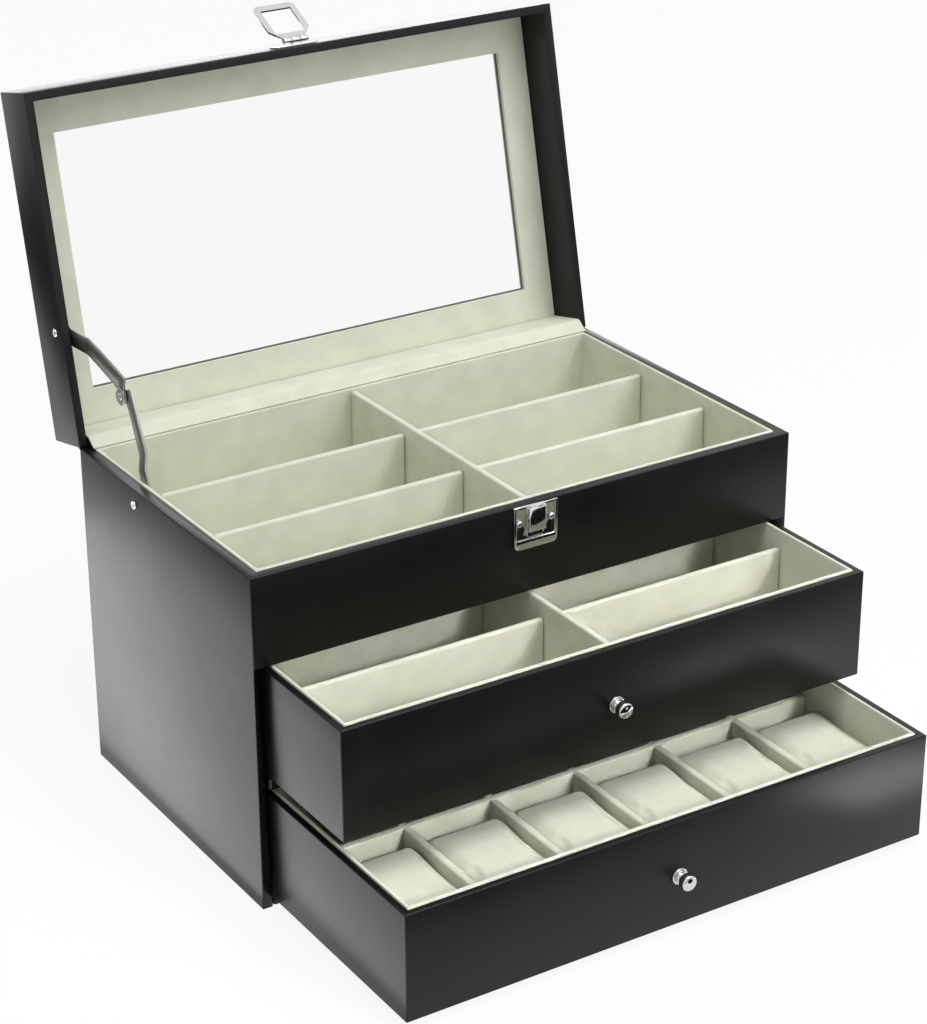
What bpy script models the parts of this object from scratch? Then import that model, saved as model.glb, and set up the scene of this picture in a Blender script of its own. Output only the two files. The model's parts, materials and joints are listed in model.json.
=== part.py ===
"""Eyeglasses storage box: a leather-wrapped case with a lidded tray and two drawers.

Metres, +Z up. The origin is the middle of the case's underside and the front faces -Y.
The box stands as it is shown: lid open on its stay, hasp loop thrown back, both drawers pulled out.
Pieces of the lid are laid out closed, round the hinge line, and an empty turns them open.
"""

import math

import bmesh
import bpy
from mathutils import Matrix, Vector

for old_object in list(bpy.data.objects):
    bpy.data.objects.remove(old_object, do_unlink=True)

# Fits and clearances
GLUE_GAP = 0.0003           # left between two pieces that are glued or seated
PIN_GAP = 0.0003            # round a pin in its bore
CUT_OVERRUN = 0.004         # how far a cutter reaches past what it cuts
MERGE_DISTANCE = 0.00003
SMOOTH_ANGLE = math.radians(40.0)
BORE_SEGMENTS = 12
CORNER_STEPS = 4

# Case
CASE_WIDTH = 0.335
CASE_DEPTH = 0.193
CASE_HEIGHT = 0.1905
SIDE_THICKNESS = 0.006
BACK_THICKNESS = 0.006
RAIL_THICKNESS = 0.0055
BASE_THICKNESS = 0.0046
SHELF_THICKNESS = 0.0078
EDGE_RADIUS = 0.0016        # leather turned over a board's edge
EDGE_STEPS = 2

# Drawers
DRAWER_SIDE_GAP = 0.0004
DRAWER_UNDER_GAP = 0.0003
DRAWER_BACK_GAP = 0.002
DRAWER_WALL = 0.004
DRAWER_FLOOR = 0.0035
BOTTOM_DRAWER_SHARE = 0.3197    # of the case's height
MIDDLE_DRAWER_SHARE = 0.3244
BOTTOM_DRAWER_LID_GAP = 0.0027
MIDDLE_DRAWER_LID_GAP = 0.0014
BOTTOM_DRAWER_PULL = 0.1315     # how far out it stands
MIDDLE_DRAWER_PULL = 0.0746

# Velvet linings and dividers
LINING_THICKNESS = 0.002
LINING_LIP = 0.0007         # how far a lining stands above the board that it lines
LINING_ROUND = 0.0007
TRAY_FLOOR_THICKNESS = 0.0055
DIVIDER_THICKNESS = 0.0035
DIVIDER_ROUND = 0.0011
DIVIDER_END_GAP = 0.0005
TRAY_DIVIDER_DROP = 0.006       # below the rim of the tray
TRAY_CENTRE_DROP = 0.0004
MIDDLE_DIVIDER_DROP = 0.0093
MIDDLE_CENTRE_DROP = 0.0005
WATCH_DIVIDER_THICKNESS = 0.0045
WATCH_DIVIDER_DROP = 0.0158
WATCH_PLACES = 6
TRAY_ROWS = 3

# Watch pillows
PILLOW_SIDE_GAP = 0.0022
PILLOW_FRONT_GAP = 0.001
PILLOW_BACK_GAP = 0.00995
PILLOW_DROP = 0.0195            # from the drawer's rim to the pillow's edge
PILLOW_CROWN = 0.0026
PILLOW_CORNER = 0.009
PILLOW_ROLL = 0.0045
PILLOW_WAIST = 0.0009           # how far its sides are drawn in
PILLOW_CORNER_STEPS = 4
PILLOW_ROLL_STEPS = 3
PILLOW_SIDE_STEPS = 4
PILLOW_RINGS = 3

# Lid
LID_HEIGHT = 0.0325
LID_WALL = 0.005
LID_TOP_THICKNESS = 0.003
LID_SEAM = 0.0003
LID_OPEN_ANGLE = math.radians(102.4)
PANEL_DEPTH = 0.025             # from the lid's rim to the face of the padded panel
PANEL_SIDE_GAP = 0.0004
PANEL_ROUND = 0.0009
MIRROR_SIDE_BORDER = 0.024          # from the lid's outside to the window
MIRROR_END_BORDER = 0.0255
MIRROR_REBATE = 0.004
MIRROR_RECESS = 0.0029
MIRROR_THICKNESS = 0.0013
MIRROR_EDGE = 0.0003
FLAP_THICKNESS = 0.0012
FLAP_ROUND = 0.0004
TAPE_THICKNESS = 0.0006
TAPE_ROUND = 0.0002
TAPE_HEIGHT = 0.022
TAPE_HINGE_GAP = 0.0013

# Catch on the case
CATCH_WIDTH = 0.0268
CATCH_HEIGHT = 0.0242
CATCH_SHEET = 0.0008
CATCH_DROP = 0.0004             # from the case's rim to the plate's top
CATCH_CORNER = 0.003
CATCH_BORDER = 0.0013
CATCH_BORDER_RISE = 0.0008
CATCH_SHELF_HEIGHT = 0.0052     # the pressed step along its foot
HOOK_WIDTH = 0.0108
HOOK_REACH = 0.0042
HOOK_TOP_DROP = 0.001
HOOK_HEIGHT = 0.0136
HOOK_WALL = 0.0008
HOOK_ROUND = 0.0016
HOOK_ROUND_STEPS = 3
HOOK_BACK_SKIN = 0.0002         # left over the plate inside the hook
SLOT_HEIGHT = 0.0030
SLOT_GAP = 0.0006
CATCH_RIVET_SPREAD = 0.0200
CATCH_RIVET_DROP = 0.0097
RIVET_HEAD_RADIUS = 0.0019
RIVET_HEAD_RISE = 0.0011
RIVET_HEAD_STEPS = 3
RIVET_SHANK_RADIUS = 0.0009
RIVET_SHANK_LENGTH = 0.003
ROUND_SEGMENTS = 20

# Hasp on the lid
HASP_LEAF_WIDTH = 0.0262
HASP_LEAF_HEIGHT = 0.0115
HASP_SHEET = 0.0008
HASP_AXIS_OUT = 0.0036          # from the lid's front to the pin
HASP_AXIS_UP = 0.0046           # from the lid's rim to the pin
HASP_LEAF_CORNER = 0.0023
KNUCKLE_RADIUS = 0.0019
KNUCKLE_SEGMENTS = 16
KNUCKLE_WEB_SHARE = 0.9         # of the knuckle's height
PIN_RADIUS = 0.0008
LEAF_KNUCKLE_WIDTH = 0.0056
EYE_WIDTH = 0.0044
KNUCKLE_END_GAP = 0.0003
LOOP_WIDTH = 0.026
LOOP_LENGTH = 0.0296
LOOP_SHEET = 0.0012
LOOP_CORNER = 0.003
LOOP_SHOULDER = 0.0085          # where its sides reach their full width
LOOP_BAR = 0.0034
LOOP_END_BAR = 0.0042
LOOP_NEAR_BAR = 0.0056
LOOP_LEAN = math.radians(40.0)  # thrown back, from the lid's front face

# Lid stay, on the left side
STAY_SHEET = 0.0012
STAY_CASE_PIVOT_INSET = 0.0655      # in front of the hinge line
STAY_CASE_PIVOT_DROP = 0.0085       # below the case's rim
STAY_LID_PIVOT_INSET = 0.0634       # with the lid shut, in front of the hinge line
STAY_LID_PIVOT_RISE = 0.0080        # with the lid shut, above the hinge line
LOWER_LINK_WIDTH = 0.0085
UPPER_LINK_WIDTH = 0.0100
LOWER_ARM_SHARE = 0.5193            # rivet to knee, of the open stay's rivet to rivet
UPPER_ARM_SHARE = 0.54628
LOWER_KNEE_ASIDE = 0.0062
UPPER_KNEE_ASIDE = 0.0072
KNEE_RADIUS = 0.0046
KNEE_EAR_START = math.radians(-30.0)
KNEE_EAR_END = math.radians(189.0)
LINK_END_OVER = 0.0022              # how far a strip runs on past its knee
LOWER_PLANE_INSET = 0.0026          # from the foot, which lies on the lining, to the strip above
LINK_GAP = 0.0003
LOWER_JOGGLE_START = 0.0165
LOWER_JOGGLE_END = 0.0245
UPPER_JOGGLE_START = 0.0075
UPPER_JOGGLE_END = 0.0195
STAY_RIVET_RADIUS = 0.0011
STAY_RIVET_HEAD = 0.0024
STAY_RIVET_RISE = 0.0008
KNEE_RIVET_HEAD = 0.0029
KNEE_RIVET_RISE = 0.0009
INNER_HEAD_SHARE = 0.8              # of the outer head of the same rivet
LID_SHANK_SHARE = 0.8               # of the lid's wall
NOTCH_MARGIN = 0.0011
LINK_ARC_STEPS = 8

# Knobs
KNOB_COLLAR_RADIUS = 0.0047
KNOB_COLLAR_LENGTH = 0.0016
KNOB_STEP_RADIUS = 0.0038
KNOB_STEP_LENGTH = 0.0016
KNOB_NECK_RADIUS = 0.0022
KNOB_NECK_LENGTH = 0.0022
KNOB_HEAD_RADIUS = 0.0047
KNOB_SEGMENTS = 24
KNOB_HEAD_STEPS = 7
KNOB_HEIGHT_SHARE = 0.48

# Places worked out from the sizes above
BOTTOM_DRAWER_HEIGHT = CASE_HEIGHT * BOTTOM_DRAWER_SHARE
MIDDLE_DRAWER_HEIGHT = CASE_HEIGHT * MIDDLE_DRAWER_SHARE
HALF_WIDTH = CASE_WIDTH / 2
HALF_DEPTH = CASE_DEPTH / 2
FRONT_Y = -HALF_DEPTH
INNER_HALF = HALF_WIDTH - SIDE_THICKNESS
BACK_INNER_Y = HALF_DEPTH - BACK_THICKNESS
RAIL_INNER_Y = FRONT_Y + RAIL_THICKNESS
BOTTOM_DRAWER_Z = BASE_THICKNESS + DRAWER_UNDER_GAP
BOTTOM_DRAWER_TOP = BOTTOM_DRAWER_Z + BOTTOM_DRAWER_HEIGHT
SHELF_Z = BOTTOM_DRAWER_TOP + BOTTOM_DRAWER_LID_GAP
MIDDLE_DRAWER_Z = SHELF_Z + SHELF_THICKNESS + DRAWER_UNDER_GAP
MIDDLE_DRAWER_TOP = MIDDLE_DRAWER_Z + MIDDLE_DRAWER_HEIGHT
RAIL_Z = MIDDLE_DRAWER_TOP + MIDDLE_DRAWER_LID_GAP
TRAY_FLOOR_TOP = RAIL_Z + TRAY_FLOOR_THICKNESS
HINGE_Y = HALF_DEPTH
HINGE_Z = CASE_HEIGHT + LID_SEAM
STAY_CASE_PIVOT_Y = HINGE_Y - STAY_CASE_PIVOT_INSET


def finish(name, colour, roughness, metallic=0.0):
    """A plain surface of one colour for the pieces of one material."""
    surface = bpy.data.materials.new(name)
    surface.use_nodes = True
    shader = surface.node_tree.nodes["Principled BSDF"]
    shader.inputs["Base Color"].default_value = (*colour, 1.0)
    shader.inputs["Roughness"].default_value = roughness
    shader.inputs["Metallic"].default_value = metallic
    surface.diffuse_color = (*colour, 1.0)
    return surface


LEATHER = finish("black_leatherette", (0.012, 0.012, 0.013), 0.45)
VELVET = finish("ivory_velvet", (0.62, 0.63, 0.51), 0.9)
MIRROR = finish("mirror_glass", (0.9, 0.9, 0.9), 0.03, 1.0)
CHROME = finish("bright_chrome", (0.8, 0.8, 0.82), 0.12, 1.0)
NICKEL = finish("brushed_nickel", (0.45, 0.44, 0.42), 0.32, 1.0)


def axis_empty(name, place, turn=0.0, parent=None):
    """An empty on a joint's line, turned about X."""
    empty = bpy.data.objects.new(name, None)
    empty.location = place
    empty.rotation_euler = (turn, 0.0, 0.0)
    empty.parent = parent
    bpy.context.scene.collection.objects.link(empty)
    return empty


def place_mesh(name, shape, surface, parent=None, smooth=False):
    """Turns a bmesh into a named object that hangs on its carrier's empty."""
    bmesh.ops.recalc_face_normals(shape, faces=shape.faces)
    mesh = bpy.data.meshes.new(name)
    shape.to_mesh(mesh)
    shape.free()
    mesh.materials.append(surface)
    if smooth:
        mesh.shade_smooth()
        mesh.set_sharp_from_angle(angle=SMOOTH_ANGLE)
    piece = bpy.data.objects.new(name, mesh)
    piece.parent = parent
    bpy.context.scene.collection.objects.link(piece)
    return piece


def block(low, high):
    """A bmesh box between two corners."""
    shape = bmesh.new()
    bmesh.ops.create_cube(shape, size=1.0)
    size = Vector(high) - Vector(low)
    bmesh.ops.scale(shape, vec=size, verts=shape.verts)
    bmesh.ops.translate(shape, vec=Vector(low) + size / 2, verts=shape.verts)
    return shape


def round_edges(shape, radius, steps=EDGE_STEPS, wanted=None):
    """Rounds the edges of a bmesh, or those that a test picks."""
    edges = [edge for edge in shape.edges if wanted is None or wanted(edge)]
    bmesh.ops.bevel(
        shape, geom=edges, offset=radius, offset_type="OFFSET", segments=steps,
        profile=0.5, affect="EDGES", material=-1, clamp_overlap=True)


def board(name, low, high, surface=LEATHER, parent=None, radius=EDGE_RADIUS, steps=EDGE_STEPS):
    """A wrapped board: a box with turned-over edges."""
    shape = block(low, high)
    round_edges(shape, radius, steps)
    return place_mesh(name, shape, surface, parent)


def cylinder(radius, low, high, along="X", centre=(0.0, 0.0, 0.0), segments=ROUND_SEGMENTS):
    """A bmesh cylinder from low to high on an axis through centre."""
    shape = bmesh.new()
    bmesh.ops.create_cone(
        shape, cap_ends=True, segments=segments, radius1=radius, radius2=radius, depth=high - low)
    bmesh.ops.translate(shape, vec=(0.0, 0.0, (high + low) / 2), verts=shape.verts)
    turns = {"X": Matrix.Rotation(math.pi / 2, 3, "Y"), "Y": Matrix.Rotation(-math.pi / 2, 3, "X"),
             "Z": Matrix.Identity(3)}
    bmesh.ops.rotate(shape, cent=(0.0, 0.0, 0.0), matrix=turns[along], verts=shape.verts)
    bmesh.ops.translate(shape, vec=centre, verts=shape.verts)
    return shape


def combine(piece, shape, operation):
    """Cuts a shape out of a piece, or joins it on, with a Boolean that stays on the piece."""
    tool = place_mesh(piece.name + "_" + operation.lower(), shape, piece.data.materials[0], piece.parent)
    tool.hide_render = True
    tool.display_type = "WIRE"
    change = piece.modifiers.new(operation.lower(), "BOOLEAN")
    change.operation = operation
    change.solver = "EXACT"
    change.object = tool
    return tool


def add_rounding(piece, width, steps=EDGE_STEPS):
    """Rounds every sharp edge that is left after the cuts."""
    rounding = piece.modifiers.new("rounding", "BEVEL")
    rounding.width = width
    rounding.segments = steps
    rounding.limit_method = "ANGLE"
    rounding.angle_limit = SMOOTH_ANGLE


def extrude_outline(points, low, high):
    """A flat outline given as (y, z) pairs, made into a plate from x = low to x = high."""
    shape = bmesh.new()
    corners = [shape.verts.new((low, y, z)) for y, z in points]
    face = shape.faces.new(corners)
    grown = bmesh.ops.extrude_face_region(shape, geom=[face])
    moved = [item for item in grown["geom"] if isinstance(item, bmesh.types.BMVert)]
    bmesh.ops.translate(shape, vec=(high - low, 0.0, 0.0), verts=moved)
    return shape


def arc(centre, radius, start, end, steps=LINK_ARC_STEPS):
    """Points on an arc, angles in radians."""
    turn = (end - start) / steps
    return [(centre[0] + radius * math.cos(start + turn * i),
             centre[1] + radius * math.sin(start + turn * i)) for i in range(steps + 1)]


def rounded_outline(width, low, high, corner, top_corner=0.0):
    """An (x, z) rectangle with rounded lower corners and, if asked, rounded upper ones."""
    half = width / 2
    points = arc((-half + corner, low + corner), corner, math.pi, math.pi * 1.5, CORNER_STEPS)
    points += arc((half - corner, low + corner), corner, -math.pi / 2, 0.0, CORNER_STEPS)
    if top_corner:
        centre_z = high - top_corner
        points += arc((half - top_corner, centre_z), top_corner, 0.0, math.pi / 2, CORNER_STEPS)
        points += arc((-half + top_corner, centre_z), top_corner, math.pi / 2, math.pi, CORNER_STEPS)
    else:
        points += [(half, high), (-half, high)]
    return points


def plate(points, front, back):
    """An (x, z) outline made into a plate from y = front to y = back."""
    shape = bmesh.new()
    corners = [shape.verts.new((x, front, z)) for x, z in points]
    face = shape.faces.new(corners)
    grown = bmesh.ops.extrude_face_region(shape, geom=[face])
    moved = [item for item in grown["geom"] if isinstance(item, bmesh.types.BMVert)]
    bmesh.ops.translate(shape, vec=(0.0, back - front, 0.0), verts=moved)
    return shape


# The case: five boards, a shelf for the upper drawer and the rail in front of the tray
def build_case():
    for name, side in (("left_side_panel", -1), ("right_side_panel", 1)):
        edges = sorted((side * HALF_WIDTH, side * INNER_HALF))
        board(name, (edges[0], FRONT_Y, 0.0), (edges[1], HALF_DEPTH, CASE_HEIGHT))
    inner = INNER_HALF - GLUE_GAP
    board("back_panel", (-inner, BACK_INNER_Y, 0.0), (inner, HALF_DEPTH, CASE_HEIGHT))
    back = BACK_INNER_Y - GLUE_GAP
    board("base_panel", (-inner, FRONT_Y, 0.0), (inner, back, BASE_THICKNESS))
    board("drawer_shelf", (-inner, FRONT_Y, SHELF_Z), (inner, back, SHELF_Z + SHELF_THICKNESS))
    board("upper_front_rail", (-inner, FRONT_Y, RAIL_Z), (inner, RAIL_INNER_Y, CASE_HEIGHT))
    board("tray_floor", (-inner, RAIL_INNER_Y + GLUE_GAP, RAIL_Z), (inner, back, TRAY_FLOOR_TOP),
          VELVET, radius=DIVIDER_ROUND)


def lining_ring(name, half_width, front, back, low, high, parent=None):
    """The velvet-covered card that lines four walls, with a soft rounded lip."""
    shape = block((-half_width, front, low), (half_width, back, high))
    ring = place_mesh(name, shape, VELVET, parent)
    inside = block(
        (-half_width + LINING_THICKNESS, front + LINING_THICKNESS, low - CUT_OVERRUN),
        (half_width - LINING_THICKNESS, back - LINING_THICKNESS, high + CUT_OVERRUN))
    combine(ring, inside, "DIFFERENCE")
    return ring


def divider(name, low, high, parent=None, rounding=DIVIDER_ROUND):
    """A padded card divider."""
    return board(name, low, high, VELVET, parent, rounding)


def row_centres(front, back, thickness, rows=TRAY_ROWS):
    """Where the dividers stand that part a length into equal rows."""
    pitch = (back - front + thickness) / rows
    return [front - thickness / 2 + pitch * i for i in range(1, rows)]


def build_tray():
    half = INNER_HALF - GLUE_GAP
    front = RAIL_INNER_Y + GLUE_GAP
    back = BACK_INNER_Y - GLUE_GAP
    low = TRAY_FLOOR_TOP + GLUE_GAP
    lining = lining_ring("tray_lining", half, front, back, low, CASE_HEIGHT + LINING_LIP)
    bore = STAY_RIVET_RADIUS + PIN_GAP
    pivot_z = CASE_HEIGHT - STAY_CASE_PIVOT_DROP
    centre = (0.0, STAY_CASE_PIVOT_Y, pivot_z)
    through = -HALF_WIDTH - CUT_OVERRUN, -half + LINING_THICKNESS + CUT_OVERRUN
    for target in (lining, bpy.data.objects["left_side_panel"]):
        hole = cylinder(bore, *through, centre=centre, segments=BORE_SEGMENTS)
        combine(target, hole, "DIFFERENCE")
    add_rounding(lining, LINING_ROUND)

    clear = LINING_THICKNESS + DIVIDER_END_GAP
    middle = DIVIDER_THICKNESS / 2
    centre_top = CASE_HEIGHT - TRAY_CENTRE_DROP
    divider("tray_centre_divider", (-middle, front + clear, low), (middle, back - clear, centre_top))
    rows = row_centres(front + LINING_THICKNESS, back - LINING_THICKNESS, DIVIDER_THICKNESS)
    top = CASE_HEIGHT - TRAY_DIVIDER_DROP
    inside = middle + DIVIDER_END_GAP
    notch_depth = pivot_z - LOWER_LINK_WIDTH / 2 - NOTCH_MARGIN
    notch_side = -half + LINING_THICKNESS + LOWER_PLANE_INSET + 2 * STAY_SHEET + KNEE_RIVET_RISE
    for row, place in zip(("front", "back"), rows):
        for side, name in ((-1, "left"), (1, "right")):
            edges = sorted((side * inside, side * (half - clear)))
            piece = divider(
                "tray_divider_" + name + "_" + row,
                (edges[0], place - middle, low), (edges[1], place + middle, top))
            if side < 0:
                # The stay folds down here when the lid shuts.
                notch = block(
                    (-half, place - DIVIDER_THICKNESS, notch_depth),
                    (notch_side + NOTCH_MARGIN, place + DIVIDER_THICKNESS, top + CUT_OVERRUN))
                combine(piece, notch, "DIFFERENCE")


def build_drawer(name, floor_z, height, pull):
    """A wrapped box that is open above, its lining and its knob. Laid out shut, then pulled out."""
    slide = axis_empty(name + "_slide", (0.0, -pull, 0.0))
    half = INNER_HALF - DRAWER_SIDE_GAP
    back = BACK_INNER_Y - DRAWER_BACK_GAP
    top = floor_z + height
    box = board(name + "_box", (-half, FRONT_Y, floor_z), (half, back, top), parent=slide)
    cavity = block(
        (-half + DRAWER_WALL, FRONT_Y + DRAWER_WALL, floor_z + DRAWER_FLOOR),
        (half - DRAWER_WALL, back - DRAWER_WALL, top + CUT_OVERRUN))
    combine(box, cavity, "DIFFERENCE")
    inset = DRAWER_WALL + GLUE_GAP
    low = floor_z + DRAWER_FLOOR + GLUE_GAP
    lining = lining_ring(
        name + "_lining", half - inset, FRONT_Y + inset, back - inset, low, top + LINING_LIP, slide)
    add_rounding(lining, LINING_ROUND)
    build_knob(name + "_knob", floor_z + height * KNOB_HEIGHT_SHARE, slide)
    inside = inset + LINING_THICKNESS
    return slide, half - inside, FRONT_Y + inside, back - inside, low, top


def build_knob(name, height, parent):
    """A turned pull: stepped collar, waisted neck and a round head, spun about its own axis."""
    seat = FRONT_Y - GLUE_GAP
    reach = 0.0
    profile = [(0.0, reach), (KNOB_COLLAR_RADIUS, reach)]
    reach += KNOB_COLLAR_LENGTH
    profile += [(KNOB_COLLAR_RADIUS, reach), (KNOB_STEP_RADIUS, reach)]
    reach += KNOB_STEP_LENGTH
    profile += [(KNOB_STEP_RADIUS, reach), (KNOB_NECK_RADIUS, reach)]
    reach += KNOB_NECK_LENGTH
    head_start = math.asin(KNOB_NECK_RADIUS / KNOB_HEAD_RADIUS)
    head_centre = reach + KNOB_HEAD_RADIUS * math.cos(head_start)
    for step in range(KNOB_HEAD_STEPS + 1):
        angle = head_start + (math.pi - head_start) * step / KNOB_HEAD_STEPS
        radius = 0.0 if step == KNOB_HEAD_STEPS else KNOB_HEAD_RADIUS * math.sin(angle)
        profile.append((radius, head_centre - KNOB_HEAD_RADIUS * math.cos(angle)))
    shape = bmesh.new()
    points = [shape.verts.new((radius, seat - out, height)) for radius, out in profile]
    edges = [shape.edges.new(pair) for pair in zip(points, points[1:])]
    bmesh.ops.spin(
        shape, geom=points + edges, cent=(0.0, 0.0, height), axis=(0.0, 1.0, 0.0),
        angle=math.tau, steps=KNOB_SEGMENTS, use_merge=True)
    bmesh.ops.remove_doubles(shape, verts=shape.verts, dist=MERGE_DISTANCE)
    return place_mesh(name, shape, CHROME, parent, smooth=True)


def build_middle_drawer():
    slide, half, front, back, low, top = build_drawer(
        "middle_drawer", MIDDLE_DRAWER_Z, MIDDLE_DRAWER_HEIGHT, MIDDLE_DRAWER_PULL)
    middle = DIVIDER_THICKNESS / 2
    end = DIVIDER_END_GAP
    divider("middle_drawer_centre_divider", (-middle, front + end, low),
            (middle, back - end, top - MIDDLE_CENTRE_DROP), slide)
    for row, place in zip(("front", "back"), row_centres(front, back, DIVIDER_THICKNESS)):
        for side, name in ((-1, "left"), (1, "right")):
            edges = sorted((side * (middle + end), side * (half - end)))
            divider("middle_drawer_divider_" + name + "_" + row, (edges[0], place - middle, low),
                    (edges[1], place + middle, top - MIDDLE_DIVIDER_DROP), slide)


def pillow_ring(half_x, half_y, corner, draw_in):
    """A rounded rectangle whose four sides are drawn in towards their middles."""
    points = []
    corners = ((1, 1, 0.0), (-1, 1, math.pi / 2), (-1, -1, math.pi), (1, -1, math.pi * 1.5))
    for side_x, side_y, start in corners:
        centre = (side_x * (half_x - corner), side_y * (half_y - corner))
        points += arc(centre, corner, start, start + math.pi / 2, PILLOW_CORNER_STEPS)
        along_x = side_x == side_y
        run = 2 * ((half_x if along_x else half_y) - corner)
        for step in range(1, PILLOW_SIDE_STEPS):
            share = step / PILLOW_SIDE_STEPS
            pull = draw_in * math.sin(math.pi * share)
            if along_x:
                points.append((centre[0] - side_x * run * share, side_y * (half_y - pull)))
            else:
                points.append((side_x * (half_x - pull), centre[1] - side_y * run * share))
    return points


def pillow(name, centre_x, width, length, front, low, parent, edge_z):
    """A foam watch pillow in velvet: rounded corners, rolled edges, a crown and drawn-in sides."""
    half_x, half_y = width / 2, length / 2
    outer = pillow_ring(half_x, half_y, PILLOW_CORNER, PILLOW_WAIST)
    levels = []
    for step in range(PILLOW_ROLL_STEPS + 1):
        angle = math.pi / 2 * step / PILLOW_ROLL_STEPS
        levels.append((1 - PILLOW_ROLL * (1 - math.sin(angle)) / half_x,
                       low + PILLOW_ROLL * (1 - math.cos(angle))))
    levels.append((1 - PILLOW_WAIST / half_x, (low + edge_z) / 2))
    for step in range(PILLOW_ROLL_STEPS + 1):
        angle = math.pi / 2 * step / PILLOW_ROLL_STEPS
        levels.append((1 - PILLOW_ROLL * (1 - math.cos(angle)) / half_x,
                       edge_z - PILLOW_ROLL * (1 - math.sin(angle))))
    start = levels[-1][0]
    for step in range(1, PILLOW_RINGS + 1):
        scale = start * (1 - step / (PILLOW_RINGS + 1))
        levels.append((scale, edge_z + PILLOW_CROWN * (1 - (scale / start) ** 2)))
    shape = bmesh.new()
    centre_y = front + half_y
    rings = [[shape.verts.new((centre_x + x * scale, centre_y + y * scale, z)) for x, y in outer]
             for scale, z in levels]
    count = len(outer)
    for ring, above in zip(rings, rings[1:]):
        for i in range(count):
            shape.faces.new((ring[i], ring[(i + 1) % count], above[(i + 1) % count], above[i]))
    shape.faces.new(list(reversed(rings[0])))
    crown = shape.verts.new((centre_x, centre_y, edge_z + PILLOW_CROWN))
    for i in range(count):
        shape.faces.new((rings[-1][i], rings[-1][(i + 1) % count], crown))
    return place_mesh(name, shape, VELVET, parent, smooth=True)


def build_bottom_drawer():
    slide, half, front, back, low, top = build_drawer(
        "bottom_drawer", BOTTOM_DRAWER_Z, BOTTOM_DRAWER_HEIGHT, BOTTOM_DRAWER_PULL)
    thick = WATCH_DIVIDER_THICKNESS
    end = DIVIDER_END_GAP
    grid_top = top - WATCH_DIVIDER_DROP
    middle_y = (front + back) / 2
    half_height = (low + grid_top) / 2
    wall = divider("watch_cross_wall", (-half + end, middle_y - thick / 2, low),
                   (half - end, middle_y + thick / 2, grid_top), slide)
    pitch = (2 * half + thick) / WATCH_PLACES
    slot = thick / 2 + GLUE_GAP
    for i in range(1, WATCH_PLACES):
        place = -half - thick / 2 + pitch * i
        piece = divider("watch_divider_" + str(i), (place - thick / 2, front + end, low),
                        (place + thick / 2, back - end, grid_top), slide)
        # Halved together: the wall drops over the dividers.
        combine(piece, block((place - thick, middle_y - slot, half_height - GLUE_GAP / 2),
                             (place + thick, middle_y + slot, grid_top + CUT_OVERRUN)), "DIFFERENCE")
        combine(wall, block((place - slot, middle_y - thick, low - CUT_OVERRUN),
                            (place + slot, middle_y + thick, half_height + GLUE_GAP / 2)), "DIFFERENCE")
    width = pitch - thick - 2 * PILLOW_SIDE_GAP
    length = middle_y - thick / 2 - front - PILLOW_FRONT_GAP - PILLOW_BACK_GAP
    for i in range(WATCH_PLACES):
        centre = -half - thick / 2 + pitch * (i + 0.5)
        pillow("watch_pillow_" + str(i + 1), centre, width, length, front + PILLOW_FRONT_GAP, low,
               slide, top - PILLOW_DROP)


# The lid: a shallow wrapped tray, laid out shut with its hinge line at the origin
def build_lid():
    lid = axis_empty("lid_hinge_line", (0.0, HINGE_Y, HINGE_Z), -LID_OPEN_ANGLE)
    rim_top = LID_HEIGHT - LID_TOP_THICKNESS - GLUE_GAP
    board("lid_top_board", (-HALF_WIDTH, -CASE_DEPTH, LID_HEIGHT - LID_TOP_THICKNESS),
          (HALF_WIDTH, 0.0, LID_HEIGHT), parent=lid, radius=EDGE_RADIUS * 0.8)
    board("lid_front_rim", (-HALF_WIDTH, -CASE_DEPTH, 0.0),
          (HALF_WIDTH, -CASE_DEPTH + LID_WALL, rim_top), parent=lid)
    board("lid_back_rim", (-HALF_WIDTH, -LID_WALL, 0.0), (HALF_WIDTH, 0.0, rim_top), parent=lid)
    for name, side in (("lid_left_rim", -1), ("lid_right_rim", 1)):
        edges = sorted((side * HALF_WIDTH, side * (HALF_WIDTH - LID_WALL)))
        board(name, (edges[0], -CASE_DEPTH + LID_WALL + GLUE_GAP, 0.0),
              (edges[1], -LID_WALL - GLUE_GAP, rim_top), parent=lid)

    half = HALF_WIDTH - LID_WALL - PANEL_SIDE_GAP
    front = -CASE_DEPTH + LID_WALL + PANEL_SIDE_GAP
    back = -LID_WALL - PANEL_SIDE_GAP
    centre_y = -CASE_DEPTH / 2
    panel = place_mesh("lid_panel", block((-half, front, PANEL_DEPTH), (half, back, rim_top)), VELVET, lid)
    window = HALF_WIDTH - MIRROR_SIDE_BORDER, HALF_DEPTH - MIRROR_END_BORDER
    glass_face = PANEL_DEPTH + MIRROR_RECESS
    rebate = MIRROR_REBATE + GLUE_GAP
    combine(panel, block((-window[0], centre_y - window[1], PANEL_DEPTH - CUT_OVERRUN),
                         (window[0], centre_y + window[1], rim_top + CUT_OVERRUN)), "DIFFERENCE")
    combine(panel, block((-window[0] - rebate, centre_y - window[1] - rebate, glass_face - GLUE_GAP),
                         (window[0] + rebate, centre_y + window[1] + rebate, rim_top + CUT_OVERRUN)),
            "DIFFERENCE")
    add_rounding(panel, PANEL_ROUND)
    board("lid_mirror", (-window[0] - MIRROR_REBATE, centre_y - window[1] - MIRROR_REBATE, glass_face),
          (window[0] + MIRROR_REBATE, centre_y + window[1] + MIRROR_REBATE, glass_face + MIRROR_THICKNESS),
          MIRROR, lid, MIRROR_EDGE, 1)
    return lid


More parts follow.
